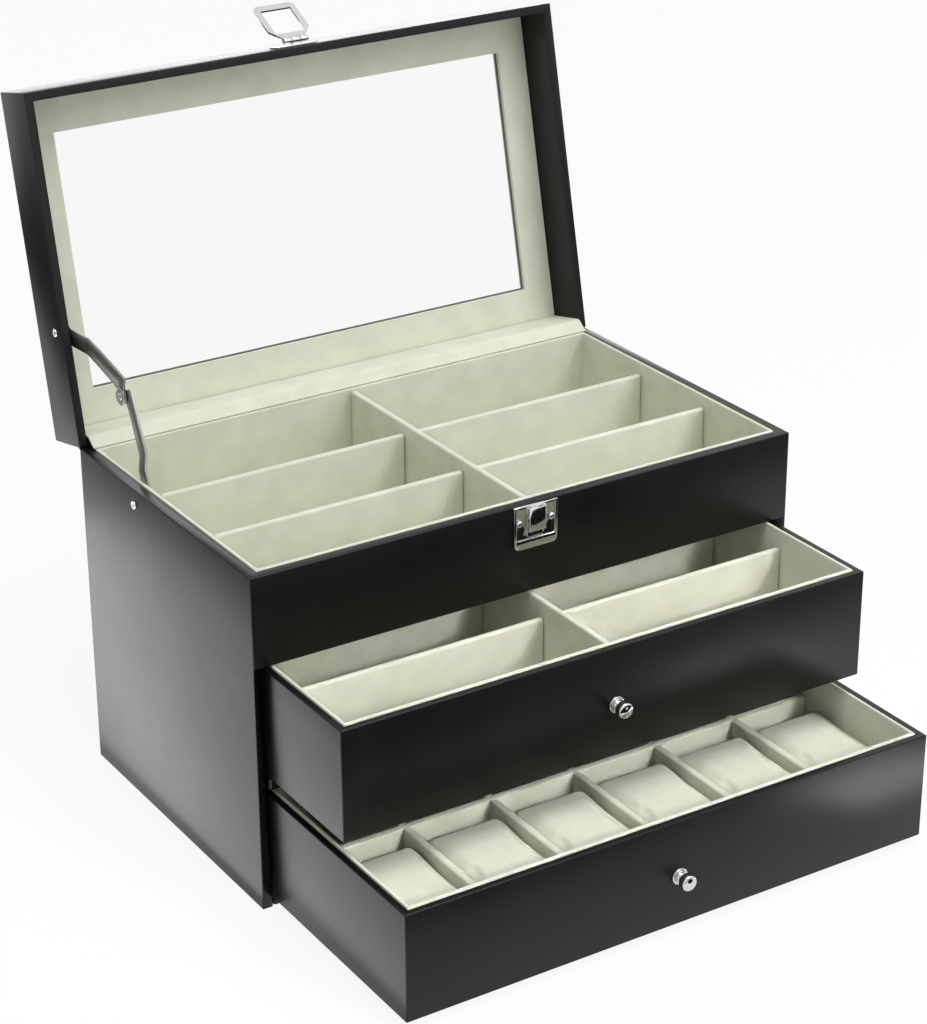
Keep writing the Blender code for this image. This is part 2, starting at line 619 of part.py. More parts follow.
def build_hinge(lid):
    """The lid turns on cloth: a leather tape outside and a velvet flap inside."""
    run = HALF_WIDTH - SIDE_THICKNESS
    out = GLUE_GAP + TAPE_THICKNESS
    board("hinge_tape_case", (-run, HALF_DEPTH + GLUE_GAP, CASE_HEIGHT - TAPE_HINGE_GAP - TAPE_HEIGHT),
          (run, HALF_DEPTH + out, CASE_HEIGHT - TAPE_HINGE_GAP), radius=TAPE_ROUND, steps=1)
    board("hinge_tape_lid", (-run, GLUE_GAP, TAPE_HINGE_GAP),
          (run, out, TAPE_HINGE_GAP + TAPE_HEIGHT), parent=lid, radius=TAPE_ROUND, steps=1)
    inner = -LID_WALL - GLUE_GAP
    flap_half = HALF_WIDTH - LID_WALL - PANEL_SIDE_GAP
    board("hinge_flap_lid", (-flap_half, inner - FLAP_THICKNESS, 0.0),
          (flap_half, inner, PANEL_DEPTH - GLUE_GAP), VELVET, lid, FLAP_ROUND, 1)
    # The fold bridges from the tray's back lip to the lid's rim, as it lies with the lid open.
    lip_y = BACK_INNER_Y - GLUE_GAP - LINING_THICKNESS
    opened = Matrix.Rotation(-LID_OPEN_ANGLE, 3, "X")
    crest = opened @ Vector((0.0, inner - FLAP_THICKNESS, 0.0)) + Vector((0.0, HINGE_Y, HINGE_Z))
    rise = Vector((0.0, crest.y - lip_y, crest.z - CASE_HEIGHT - LINING_LIP)).normalized()
    side = Vector((0.0, -rise.z, rise.y))
    start = Vector((0.0, lip_y, CASE_HEIGHT + LINING_LIP + GLUE_GAP)) + side * FLAP_THICKNESS / 2
    end = Vector((0.0, crest.y, crest.z)) - rise * FLAP_THICKNESS + side * FLAP_THICKNESS / 2
    half = side * FLAP_THICKNESS / 2
    outline = [tuple((start - half).yz), tuple((end - half).yz), tuple((end + half).yz),
               tuple((start + half).yz)]
    fold = extrude_outline(outline, -flap_half, flap_half)
    place_mesh("hinge_flap_fold", fold, VELVET)


def rivet(name, head_radius, rise, shank_radius, shank, place, along, parent, surface=CHROME):
    """A domed head and its shank. The head stands on the side that along points to."""
    profile = [(0.0, -shank), (shank_radius, -shank), (shank_radius, 0.0), (head_radius, 0.0)]
    for step in range(1, RIVET_HEAD_STEPS + 1):
        angle = math.pi / 2 * step / RIVET_HEAD_STEPS
        radius = 0.0 if step == RIVET_HEAD_STEPS else head_radius * math.cos(angle)
        profile.append((radius, rise * math.sin(angle)))
    shape = bmesh.new()
    points = [shape.verts.new((radius, 0.0, out)) for radius, out in profile]
    edges = [shape.edges.new(pair) for pair in zip(points, points[1:])]
    bmesh.ops.spin(shape, geom=points + edges, cent=(0.0, 0.0, 0.0), axis=(0.0, 0.0, 1.0),
                   angle=math.tau, steps=ROUND_SEGMENTS, use_merge=True)
    bmesh.ops.remove_doubles(shape, verts=shape.verts, dist=MERGE_DISTANCE)
    turn = Vector((0.0, 0.0, 1.0)).rotation_difference(Vector(along)).to_matrix()
    bmesh.ops.rotate(shape, cent=(0.0, 0.0, 0.0), matrix=turn, verts=shape.verts)
    bmesh.ops.translate(shape, vec=place, verts=shape.verts)
    return place_mesh(name, shape, surface, parent, smooth=True)


def build_catch():
    """A pressed plate with a raised border, a slot and a hook that the loop snaps over."""
    top = CASE_HEIGHT - CATCH_DROP
    foot = top - CATCH_HEIGHT
    back = FRONT_Y - GLUE_GAP
    face = back - CATCH_SHEET
    proud = face - CATCH_BORDER_RISE
    outline = rounded_outline(CATCH_WIDTH, foot, top, CATCH_CORNER)
    catch = place_mesh("catch_plate", plate(outline, proud, back), CHROME)
    pocket_width = CATCH_WIDTH - 2 * CATCH_BORDER
    pocket_foot = foot + CATCH_SHELF_HEIGHT
    pocket = rounded_outline(pocket_width, pocket_foot, top - CATCH_BORDER, CATCH_BORDER)
    combine(catch, plate(pocket, proud - CUT_OVERRUN, face), "DIFFERENCE")

    hook_top = top - HOOK_TOP_DROP
    hook_foot = hook_top - HOOK_HEIGHT
    shape = block((-HOOK_WIDTH / 2, back - HOOK_REACH, hook_foot),
                  (HOOK_WIDTH / 2, face + CATCH_SHEET / 2, hook_top))

    def in_front(edge):
        """The edges of the hook's front, but not the one along its open top."""
        before = all(point.co.y < back - HOOK_REACH / 2 for point in edge.verts)
        return before and not all(point.co.z > hook_top - HOOK_WALL for point in edge.verts)

    round_edges(shape, HOOK_ROUND, HOOK_ROUND_STEPS, in_front)
    combine(catch, shape, "UNION")
    half = HOOK_WIDTH / 2 - HOOK_WALL
    combine(catch, block((-half, back - HOOK_REACH + HOOK_WALL, hook_foot + HOOK_WALL),
                         (half, face - HOOK_BACK_SKIN, hook_top + CUT_OVERRUN)), "DIFFERENCE")
    slot_top = hook_foot - SLOT_GAP
    combine(catch, block((-half, proud - CUT_OVERRUN, slot_top - SLOT_HEIGHT),
                         (half, back + CUT_OVERRUN, slot_top)), "DIFFERENCE")
    rail = bpy.data.objects["upper_front_rail"]
    height = CASE_HEIGHT - CATCH_RIVET_DROP
    bore = RIVET_SHANK_RADIUS + PIN_GAP
    for name, side in (("left", -1), ("right", 1)):
        place = (side * CATCH_RIVET_SPREAD / 2, face - GLUE_GAP, height)
        for target in (catch, rail):
            hole = cylinder(bore, -CUT_OVERRUN, RIVET_SHANK_LENGTH + PIN_GAP, "Y", place, BORE_SEGMENTS)
            combine(target, hole, "DIFFERENCE")
        rivet("catch_rivet_" + name, RIVET_HEAD_RADIUS, RIVET_HEAD_RISE, RIVET_SHANK_RADIUS,
              RIVET_SHANK_LENGTH, place, (0.0, -1.0, 0.0), None)


def tube_sleeve(width, centre_x, radius=KNUCKLE_RADIUS):
    """A knuckle round the pin's axis at the origin, along X."""
    return cylinder(radius, centre_x - width / 2, centre_x + width / 2, "X", segments=KNUCKLE_SEGMENTS)


def build_hasp(lid):
    """A leaf on the lid's front, a pin through its knuckle, and the loop that swings on the pin."""
    axis_y = -CASE_DEPTH - HASP_AXIS_OUT
    axis = Vector((0.0, axis_y, HASP_AXIS_UP))
    back = -CASE_DEPTH - GLUE_GAP
    outline = rounded_outline(HASP_LEAF_WIDTH, HASP_AXIS_UP - KNUCKLE_RADIUS,
                              HASP_AXIS_UP - KNUCKLE_RADIUS + HASP_LEAF_HEIGHT,
                              HASP_SHEET, HASP_LEAF_CORNER)
    leaf = place_mesh("hasp_leaf", plate(outline, back - HASP_SHEET, back), CHROME, lid)
    knuckle = tube_sleeve(LEAF_KNUCKLE_WIDTH, 0.0)
    bmesh.ops.translate(knuckle, vec=axis, verts=knuckle.verts)
    combine(leaf, knuckle, "UNION")
    web_half = KNUCKLE_RADIUS * KNUCKLE_WEB_SHARE
    web = block((-LEAF_KNUCKLE_WIDTH / 2, axis_y, HASP_AXIS_UP - web_half),
                (LEAF_KNUCKLE_WIDTH / 2, back - HASP_SHEET / 2, HASP_AXIS_UP + web_half))
    combine(leaf, web, "UNION")
    bore = cylinder(
        PIN_RADIUS + PIN_GAP, -LEAF_KNUCKLE_WIDTH, LEAF_KNUCKLE_WIDTH, "X", axis, BORE_SEGMENTS)
    combine(leaf, bore, "DIFFERENCE")
    span = LEAF_KNUCKLE_WIDTH / 2 + KNUCKLE_END_GAP + EYE_WIDTH + KNUCKLE_END_GAP
    pin = cylinder(PIN_RADIUS, -span, span, "X", axis, BORE_SEGMENTS)
    place_mesh("hasp_pin", pin, NICKEL, lid, smooth=True)

    swing = axis_empty("hasp_pin_line", axis, LOOP_LEAN, lid)
    half = LOOP_WIDTH / 2
    inner_end = LEAF_KNUCKLE_WIDTH / 2 + KNUCKLE_END_GAP
    outer_end = inner_end + EYE_WIDTH
    near = KNUCKLE_RADIUS + PIN_GAP
    points = [(outer_end, near), (half, LOOP_SHOULDER)]
    corner_x, corner_z = half - LOOP_CORNER, LOOP_LENGTH - LOOP_CORNER
    points += arc((corner_x, corner_z), LOOP_CORNER, 0.0, math.pi / 2, CORNER_STEPS)
    points += arc((-corner_x, corner_z), LOOP_CORNER, math.pi / 2, math.pi, CORNER_STEPS)
    points += [(-half, LOOP_SHOULDER), (-outer_end, near)]
    loop = place_mesh("hasp_loop", plate(points, -LOOP_SHEET / 2, LOOP_SHEET / 2), CHROME, swing)
    for side in (-1, 1):
        centre_x = side * (inner_end + EYE_WIDTH / 2)
        combine(loop, tube_sleeve(EYE_WIDTH, centre_x), "UNION")
        strap = block((centre_x - EYE_WIDTH / 2, -LOOP_SHEET / 2, PIN_RADIUS + PIN_GAP),
                      (centre_x + EYE_WIDTH / 2, LOOP_SHEET / 2, LOOP_NEAR_BAR))
        combine(loop, strap, "UNION")
    opening = block((-half + LOOP_BAR, -CUT_OVERRUN, LOOP_NEAR_BAR),
                    (half - LOOP_BAR, CUT_OVERRUN, LOOP_LENGTH - LOOP_END_BAR))
    combine(loop, opening, "DIFFERENCE")
    combine(loop, cylinder(PIN_RADIUS + PIN_GAP, -half, half, "X", segments=BORE_SEGMENTS), "DIFFERENCE")
    return swing


def link_outline(length, aside, width, end_over):
    """Half of the stay: a strip from its rivet, with an ear beside its far end for the knee.

    Points are (along, across), with the rivet at the origin and the knee on the + side.
    """
    half = width / 2
    points = arc((0.0, 0.0), half, math.pi * 1.5, math.pi / 2)
    points.reverse()
    points = [(-x if x > 0 else x, y) for x, y in points]
    knee = (length, aside)
    points += [(length + end_over, -half), (length + end_over, 0.0)]
    points += arc(knee, KNEE_RADIUS, KNEE_EAR_START, KNEE_EAR_END)
    points += [(length - 2 * KNEE_RADIUS, half)]
    return points


def joggle(shape, start, end, shift):
    """Steps a plate sideways between two stations along its length (local Y)."""
    for station in (start, end):
        bmesh.ops.bisect_plane(
            shape, geom=list(shape.verts) + list(shape.edges) + list(shape.faces),
            plane_co=(0.0, station, 0.0), plane_no=(0.0, 1.0, 0.0))
    for point in shape.verts:
        share = (point.co.y - start) / (end - start)
        point.co.x += shift * min(1.0, max(0.0, share))


def build_stay(lid):
    """Two riveted links on the left. The lower one turns on the case and the upper one on the knee."""
    lining_face = -INNER_HALF + GLUE_GAP + LINING_THICKNESS
    foot_x = lining_face + LINK_GAP
    lower_x = foot_x + LOWER_PLANE_INSET
    upper_x = lower_x - LINK_GAP - STAY_SHEET
    lid_x = -HALF_WIDTH + LID_WALL + LINK_GAP
    case_pivot = Vector((0.0, STAY_CASE_PIVOT_Y, CASE_HEIGHT - STAY_CASE_PIVOT_DROP))
    opened = Matrix.Rotation(-LID_OPEN_ANGLE, 3, "X")
    lid_local = Vector((0.0, -STAY_LID_PIVOT_INSET, STAY_LID_PIVOT_RISE))
    lid_pivot = opened @ lid_local + Vector((0.0, HINGE_Y, HINGE_Z))

    span = (lid_pivot - case_pivot).length
    lower_arm, upper_arm = span * LOWER_ARM_SHARE, span * UPPER_ARM_SHARE
    lower_length = math.sqrt(lower_arm ** 2 - LOWER_KNEE_ASIDE ** 2)
    upper_length = math.sqrt(upper_arm ** 2 - UPPER_KNEE_ASIDE ** 2)
    knee, lower_angle, upper_angle = knee_place(case_pivot, lid_pivot, lower_arm, upper_arm)
    lower_turn = lower_angle + math.atan2(LOWER_KNEE_ASIDE, lower_length)
    upper_turn = upper_angle + math.pi - math.atan2(UPPER_KNEE_ASIDE, upper_length)

    lower_line = axis_empty("stay_foot_line", case_pivot, lower_turn)
    outline = [(along, -across) for along, across in link_outline(
        lower_length, LOWER_KNEE_ASIDE, LOWER_LINK_WIDTH, LINK_END_OVER)]
    shape = extrude_outline(outline, foot_x, foot_x + STAY_SHEET)
    joggle(shape, LOWER_JOGGLE_START, LOWER_JOGGLE_END, lower_x - foot_x)
    lower = place_mesh("stay_lower_link", shape, NICKEL, lower_line)
    bore = STAY_RIVET_RADIUS + PIN_GAP
    wide = -HALF_WIDTH - CUT_OVERRUN, -HALF_WIDTH + SIDE_THICKNESS * 4
    combine(lower, cylinder(bore, *wide, segments=BORE_SEGMENTS), "DIFFERENCE")
    knee_local = (0.0, lower_length, -LOWER_KNEE_ASIDE)
    combine(lower, cylinder(bore, *wide, centre=knee_local, segments=BORE_SEGMENTS), "DIFFERENCE")

    upper_line = axis_empty("stay_knee_line", knee_local, 0.0, lower_line)
    upper_line.rotation_euler = (upper_turn - lower_turn, 0.0, 0.0)
    outline = link_outline(upper_length, UPPER_KNEE_ASIDE, UPPER_LINK_WIDTH, LINK_END_OVER)
    shape = extrude_outline(outline, lid_x, lid_x + STAY_SHEET)
    joggle(shape, UPPER_JOGGLE_START, UPPER_JOGGLE_END, upper_x - lid_x)
    knee_offset = (0.0, upper_length, UPPER_KNEE_ASIDE)
    bmesh.ops.translate(shape, vec=-Vector(knee_offset), verts=shape.verts)
    upper = place_mesh("stay_upper_link", shape, NICKEL, upper_line)
    combine(upper, cylinder(bore, *wide, segments=BORE_SEGMENTS), "DIFFERENCE")

    # The knee rivet goes through both links and has a head on each side.
    stack = 2 * STAY_SHEET + 3 * LINK_GAP
    knee_rivet = rivet("stay_knee_rivet", KNEE_RIVET_HEAD, KNEE_RIVET_RISE, STAY_RIVET_RADIUS, stack,
                       (upper_x - LINK_GAP, *knee_local[1:]), (-1.0, 0.0, 0.0), lower_line, NICKEL)
    inner_head = cylinder(KNEE_RIVET_HEAD * INNER_HEAD_SHARE, lower_x + STAY_SHEET + LINK_GAP,
                          lower_x + STAY_SHEET + LINK_GAP + KNEE_RIVET_RISE, centre=knee_local)
    combine(knee_rivet, inner_head, "UNION")

    reach = foot_x + STAY_SHEET + LINK_GAP
    foot_rivet = rivet("stay_case_rivet", STAY_RIVET_HEAD, STAY_RIVET_RISE, STAY_RIVET_RADIUS,
                       reach + HALF_WIDTH + GLUE_GAP, (-HALF_WIDTH - GLUE_GAP, *case_pivot[1:]),
                       (-1.0, 0.0, 0.0), None)
    inner_head = cylinder(STAY_RIVET_HEAD * INNER_HEAD_SHARE, reach, reach + STAY_RIVET_RISE,
                          centre=(0.0, *case_pivot[1:]))
    combine(foot_rivet, inner_head, "UNION")
    # The lid's rivet stops inside its wall, so the open pivot of the linkage has room.
    shank = LID_WALL * LID_SHANK_SHARE
    hole = cylinder(
        bore, -HALF_WIDTH - CUT_OVERRUN, -HALF_WIDTH + shank, centre=lid_local, segments=BORE_SEGMENTS)
    combine(bpy.data.objects["lid_left_rim"], hole, "DIFFERENCE")
    rivet("stay_lid_rivet", STAY_RIVET_HEAD, STAY_RIVET_RISE, STAY_RIVET_RADIUS, shank,
          (-HALF_WIDTH - GLUE_GAP, *lid_local[1:]), (-1.0, 0.0, 0.0), lid)


def knee_place(foot, head, lower_arm, upper_arm):
    """Where two arms meet in front of the line from foot to head, and the angles that they take."""
    span = math.hypot(head.y - foot.y, head.z - foot.z)
    line = math.atan2(head.z - foot.z, head.y - foot.y)
    along = (lower_arm ** 2 - upper_arm ** 2 + span ** 2) / (2 * span)
    lower_angle = line + math.acos(along / lower_arm)
    knee_y = foot.y + lower_arm * math.cos(lower_angle)
    knee_z = foot.z + lower_arm * math.sin(lower_angle)
    upper_angle = math.atan2(head.z - knee_z, head.y - knee_y)
    return Vector((0.0, knee_y, knee_z)), lower_angle, upper_angle


build_case()
build_tray()
build_middle_drawer()
build_bottom_drawer()
lid_line = build_lid()
build_hinge(lid_line)
build_catch()
build_hasp(lid_line)
build_stay(lid_line)
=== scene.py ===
import json
import math

import bmesh
import bpy
from mathutils import Matrix, Vector, noise


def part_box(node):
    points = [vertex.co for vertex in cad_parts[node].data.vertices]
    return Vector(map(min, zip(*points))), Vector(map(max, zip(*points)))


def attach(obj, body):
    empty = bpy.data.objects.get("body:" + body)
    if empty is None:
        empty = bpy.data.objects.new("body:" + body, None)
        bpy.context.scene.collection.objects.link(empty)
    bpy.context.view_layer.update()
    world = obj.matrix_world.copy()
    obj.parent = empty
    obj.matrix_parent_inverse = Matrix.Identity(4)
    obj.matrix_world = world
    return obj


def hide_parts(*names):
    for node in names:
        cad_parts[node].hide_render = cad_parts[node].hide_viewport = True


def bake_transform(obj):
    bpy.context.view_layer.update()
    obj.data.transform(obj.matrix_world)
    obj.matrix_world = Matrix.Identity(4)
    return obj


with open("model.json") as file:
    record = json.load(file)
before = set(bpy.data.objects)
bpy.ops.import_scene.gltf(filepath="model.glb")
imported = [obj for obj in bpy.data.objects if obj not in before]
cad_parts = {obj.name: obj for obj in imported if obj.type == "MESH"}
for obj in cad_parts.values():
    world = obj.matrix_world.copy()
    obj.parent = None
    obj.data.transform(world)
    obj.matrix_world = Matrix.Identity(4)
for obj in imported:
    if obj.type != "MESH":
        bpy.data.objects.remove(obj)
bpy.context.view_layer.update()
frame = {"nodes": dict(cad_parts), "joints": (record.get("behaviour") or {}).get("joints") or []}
scene = bpy.context.scene
scene.view_settings.view_transform = "Standard"


# The table the box stands on: a plain pale sweep, wide enough for every view.
# It shows nearly white, and keeps a soft shadow under the drawers.
floor_mesh = bmesh.new()
bmesh.ops.create_grid(floor_mesh, x_segments=1, y_segments=1, size=6.0)
floor_data = bpy.data.meshes.new("studio_floor")
floor_mesh.to_mesh(floor_data)
floor_mesh.free()
floor = bpy.data.objects.new("studio_floor", floor_data)
scene.collection.objects.link(floor)
floor_paper = bpy.data.materials.new("studio_paper")
floor_paper.use_nodes = True
paper_nodes, paper_links = floor_paper.node_tree.nodes, floor_paper.node_tree.links
paper_nodes.clear()
paper_out = paper_nodes.new("ShaderNodeOutputMaterial")
paper_mix = paper_nodes.new("ShaderNodeMixShader")
paper_matte = paper_nodes.new("ShaderNodeBsdfDiffuse")
paper_matte.inputs["Color"].default_value = (0.86, 0.86, 0.86, 1.0)
paper_glow = paper_nodes.new("ShaderNodeEmission")
paper_glow.inputs["Strength"].default_value = 1.0
paper_path = paper_nodes.new("ShaderNodeLightPath")
paper_seen = paper_nodes.new("ShaderNodeMath")
paper_seen.operation = "MAXIMUM"
paper_share = paper_nodes.new("ShaderNodeMath")
paper_share.operation = "MULTIPLY"
paper_share.inputs[1].default_value = 0.9
paper_links.new(paper_path.outputs["Is Camera Ray"], paper_seen.inputs[0])
paper_links.new(paper_path.outputs["Is Glossy Ray"], paper_seen.inputs[1])
paper_links.new(paper_seen.outputs[0], paper_share.inputs[0])
paper_links.new(paper_share.outputs[0], paper_mix.inputs["Fac"])
paper_links.new(paper_matte.outputs[0], paper_mix.inputs[1])
paper_links.new(paper_glow.outputs[0], paper_mix.inputs[2])
paper_links.new(paper_mix.outputs[0], paper_out.inputs["Surface"])
floor_data.materials.append(floor_paper)


# The studio round it: white walls that the camera, the mirror and the metal see,
# and a softer level of light that falls on the box from all sides.
studio = bpy.data.worlds.new("white_studio")
scene.world = studio
studio.use_nodes = True
studio_nodes, studio_links = studio.node_tree.nodes, studio.node_tree.links
studio_nodes.clear()
studio_out = studio_nodes.new("ShaderNodeOutputWorld")
studio_mix = studio_nodes.new("ShaderNodeMixShader")
studio_light = studio_nodes.new("ShaderNodeBackground")
studio_light.inputs["Color"].default_value = (1.0, 1.0, 1.0, 1.0)
studio_light.inputs["Strength"].default_value = 0.5
studio_white = studio_nodes.new("ShaderNodeBackground")
studio_white.inputs["Color"].default_value = (1.0, 1.0, 1.0, 1.0)
studio_white.inputs["Strength"].default_value = 1.0
studio_path = studio_nodes.new("ShaderNodeLightPath")
studio_shine = studio_nodes.new("ShaderNodeMath")
studio_shine.operation = "MAXIMUM"
studio_seen = studio_nodes.new("ShaderNodeMath")
studio_seen.operation = "MAXIMUM"
studio_links.new(studio_path.outputs["Is Glossy Ray"], studio_shine.inputs[0])
studio_links.new(studio_path.outputs["Is Transmission Ray"], studio_shine.inputs[1])
studio_links.new(studio_path.outputs["Is Camera Ray"], studio_seen.inputs[0])
studio_links.new(studio_shine.outputs[0], studio_seen.inputs[1])
studio_links.new(studio_seen.outputs[0], studio_mix.inputs["Fac"])
studio_links.new(studio_light.outputs[0], studio_mix.inputs[1])
studio_links.new(studio_white.outputs[0], studio_mix.inputs[2])
studio_links.new(studio_mix.outputs[0], studio_out.inputs["Surface"])


# Softboxes: the key in front on the right, a low fill, one overhead, and one with a grid that
# lights only the drawers. Seen only in the shine are one behind the lid, and glows on the table.
def softbox(name, place, aim, width, height, power, diffuse=True, shine=True, spread=180.0):
    lamp = bpy.data.lights.new(name, "AREA")
    lamp.shape = "RECTANGLE"
    lamp.size, lamp.size_y = width, height
    lamp.energy = power
    lamp.spread = math.radians(spread)
    box = bpy.data.objects.new(name, lamp)
    box.location = place
    box.rotation_euler = (Vector(aim) - Vector(place)).to_track_quat("-Z", "Y").to_euler()
    box.visible_camera = False
    box.visible_diffuse = diffuse
    box.visible_glossy = shine
    scene.collection.objects.link(box)


softbox("key_softbox", (0.9, -1.6, 1.9), (0.0, -0.1, 0.1), 1.4, 1.2, 8.0)
softbox("low_fill_softbox", (0.9, -2.0, 0.75), (0.0, -0.1, 0.1), 1.6, 0.8, 7.0, shine=False)
softbox("overhead_softbox", (0.05, -0.45, 2.2), (0.0, -0.1, 0.1), 1.4, 1.0, 22.0)
softbox("gridded_drawer_softbox", (0.35, -1.3, 0.80), (0.0, -0.15, 0.08), 0.7, 0.16, 0.33,
        shine=False, spread=16.0)
softbox("back_softbox", (1.16, 2.2, 0.42), (0.0, 0.1, 0.38), 1.3, 0.5, 8.0, diffuse=False)
softbox("left_table_glow", (-0.30, 0.06, 0.004), (-0.30, 0.06, 1.0), 0.26, 0.74, 0.92, diffuse=False)
softbox("left_far_glow", (-0.42, 0.18, 0.004), (-0.42, 0.18, 1.0), 0.14, 0.26, 0.22, diffuse=False)
softbox("right_table_glow", (0.21, -0.30, 0.004), (0.21, -0.30, 1.0), 0.1, 0.08, 0.10, diffuse=False)


# Two dark cards on the table, seen only in the shine: one in front keeps the fronts deep black,
# and one behind on the left does the same for the lid's side.
card_black = bpy.data.materials.new("card_black")
card_black.use_nodes = True
card_shader = card_black.node_tree.nodes["Principled BSDF"]
card_shader.inputs["Base Color"].default_value = (0.01, 0.01, 0.01, 1.0)
card_shader.inputs["Specular IOR Level"].default_value = 0.0
card_shader.inputs["Roughness"].default_value = 1.0
for name, width, length, turn, place in (
        ("front_dark_card", 1.5, 0.75, -3.0, (0.95, -1.16, 0.003)),
        ("left_dark_card", 0.55, 0.60, -30.0, (-0.86, 0.87, 0.003))):
    card_mesh = bmesh.new()
    bmesh.ops.create_grid(card_mesh, x_segments=1, y_segments=1, size=1.0)
    bmesh.ops.scale(card_mesh, vec=(width, length, 1.0), verts=card_mesh.verts)
    bmesh.ops.rotate(card_mesh, matrix=Matrix.Rotation(math.radians(turn), 3, "Z"), verts=card_mesh.verts)
    bmesh.ops.translate(card_mesh, vec=place, verts=card_mesh.verts)
    card_data = bpy.data.meshes.new(name)
    card_mesh.to_mesh(card_data)
    card_mesh.free()
    card_data.materials.append(card_black)
    card = bpy.data.objects.new(name, card_data)
    scene.collection.objects.link(card)
    card.visible_camera = card.visible_diffuse = card.visible_shadow = False


# The photograph's viewpoint: above the front left corner, with a long lens.
view = bpy.data.cameras.new("shop_view")
view.sensor_fit = "HORIZONTAL"
view.sensor_width = 36.0
view.lens = 107.27
view.shift_x = 0.0822
view.shift_y = 0.005
view.clip_end = 30.0
camera = bpy.data.objects.new("shop_view", view)
camera.matrix_world = Matrix((
    (0.85523, 0.22862, -0.46509, -0.73118),
    (-0.51801, 0.35039, -0.78032, -1.17447),
    (-0.01543, 0.90828, 0.41809, 0.78203),
    (0.0, 0.0, 0.0, 1.0)))
scene.collection.objects.link(camera)
scene.camera = camera


# The case: boards wrapped in black leatherette, a fine-grained skin with a soft shine.
# It is turned over the boards' edges, where it is worn a little smoother.
def leatherette(name):
    skin = bpy.data.materials.new(name)
    skin.use_nodes = True
    nodes, links = skin.node_tree.nodes, skin.node_tree.links
    shader = nodes["Principled BSDF"]
    shader.inputs["Specular IOR Level"].default_value = 0.28
    where = nodes.new("ShaderNodeTexCoord")
    tone = nodes.new("ShaderNodeTexNoise")
    tone.inputs["Scale"].default_value = 26.0
    tone.inputs["Detail"].default_value = 5.0
    tone_ramp = nodes.new("ShaderNodeValToRGB")
    tone_ramp.color_ramp.elements[0].position = 0.3
    tone_ramp.color_ramp.elements[0].color = (0.0025, 0.0025, 0.0027, 1.0)
    tone_ramp.color_ramp.elements[1].position = 0.75
    tone_ramp.color_ramp.elements[1].color = (0.0048, 0.0048, 0.0052, 1.0)
    gloss = nodes.new("ShaderNodeMapRange")
    gloss.inputs["To Min"].default_value = 0.29
    gloss.inputs["To Max"].default_value = 0.38
    pores = nodes.new("ShaderNodeTexVoronoi")
    pores.feature = "DISTANCE_TO_EDGE"
    pores.inputs["Scale"].default_value = 1150.0
    folds = nodes.new("ShaderNodeTexNoise")
    folds.inputs["Scale"].default_value = 420.0
    folds.inputs["Detail"].default_value = 4.0
    pore_bump = nodes.new("ShaderNodeBump")
    pore_bump.inputs["Strength"].default_value = 0.35
    pore_bump.inputs["Distance"].default_value = 0.00008
    fold_bump = nodes.new("ShaderNodeBump")
    fold_bump.inputs["Strength"].default_value = 0.5
    fold_bump.inputs["Distance"].default_value = 0.00012
    for texture in (tone, pores, folds):
        links.new(where.outputs["Object"], texture.inputs["Vector"])
    links.new(tone.outputs["Fac"], tone_ramp.inputs["Fac"])
    links.new(tone_ramp.outputs["Color"], shader.inputs["Base Color"])
    links.new(tone.outputs["Fac"], gloss.inputs["Value"])
    links.new(gloss.outputs["Result"], shader.inputs["Roughness"])
    links.new(pores.outputs["Distance"], pore_bump.inputs["Height"])
    links.new(folds.outputs["Fac"], fold_bump.inputs["Height"])
    links.new(pore_bump.outputs["Normal"], fold_bump.inputs["Normal"])
    links.new(fold_bump.outputs["Normal"], shader.inputs["Normal"])
    return skin


def dress(node, material):
    data = frame["nodes"][node].data
    data.materials.clear()
    data.materials.append(material)


black_skin = leatherette("black_leatherette_skin")
for node in ("base_panel", "drawer_shelf"):
    dress(node, black_skin)


def add_piece(name, shape, material, body, slot, *nodes):
    """A finished piece: its mesh in place, its finish and the body that it rides on. The slot, what it stands
    for, is not used.
    """
    bmesh.ops.recalc_face_normals(shape, faces=shape.faces)
    data = bpy.data.meshes.new(name)
    shape.to_mesh(data)
    shape.free()
    data.materials.append(material)
    data.shade_smooth()
    data.set_sharp_from_angle(angle=math.radians(38.0))
    piece = bpy.data.objects.new(name, data)
    scene.collection.objects.link(piece)
    if body:
        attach(piece, body)
    if nodes:
        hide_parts(*nodes)
    return piece


def cube_between(low, high):
    shape = bmesh.new()
    bmesh.ops.create_cube(shape, size=1.0)
    bmesh.ops.scale(shape, vec=Vector(high) - Vector(low), verts=shape.verts)
    bmesh.ops.translate(shape, vec=(Vector(high) + Vector(low)) / 2, verts=shape.verts)
    return shape


def soften(shape, radius, steps, edges=None):
    bmesh.ops.bevel(
        shape, geom=list(shape.edges) if edges is None else edges, offset=radius, segments=steps,
        profile=0.5, affect="EDGES", material=-1, clamp_overlap=True)


# The case's wrap: one skin over sides, back and front rail, so that no joint shows at its corners.
# Its walls are the boards' own, and the drawers' bays are open below the rail.
case_low, case_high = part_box("left_side_panel")[0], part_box("right_side_panel")[1]
rail_low, rail_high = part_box("upper_front_rail")
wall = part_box("left_side_panel")[1].x - case_low.x
LEATHER_TURN, TURN_STEPS, FOLD_ANGLE = 0.0006, 3, 0.5
wrap = cube_between(case_low, case_high)
bmesh.ops.bisect_plane(
    wrap, geom=list(wrap.verts) + list(wrap.edges) + list(wrap.faces),
    plane_co=(0.0, 0.0, rail_low.z), plane_no=(0.0, 0.0, 1.0))
wrap.normal_update()
gone = [face for face in wrap.faces if abs(face.normal.z) > 0.9 or (
    face.normal.y < -0.9 and face.calc_center_median().z < rail_low.z)]
bmesh.ops.delete(wrap, geom=gone, context="FACES")
bmesh.ops.solidify(wrap, geom=list(wrap.faces), thickness=wall)
soften(wrap, LEATHER_TURN, TURN_STEPS, [
    edge for edge in wrap.edges if edge.calc_face_angle(0.0) > FOLD_ANGLE])
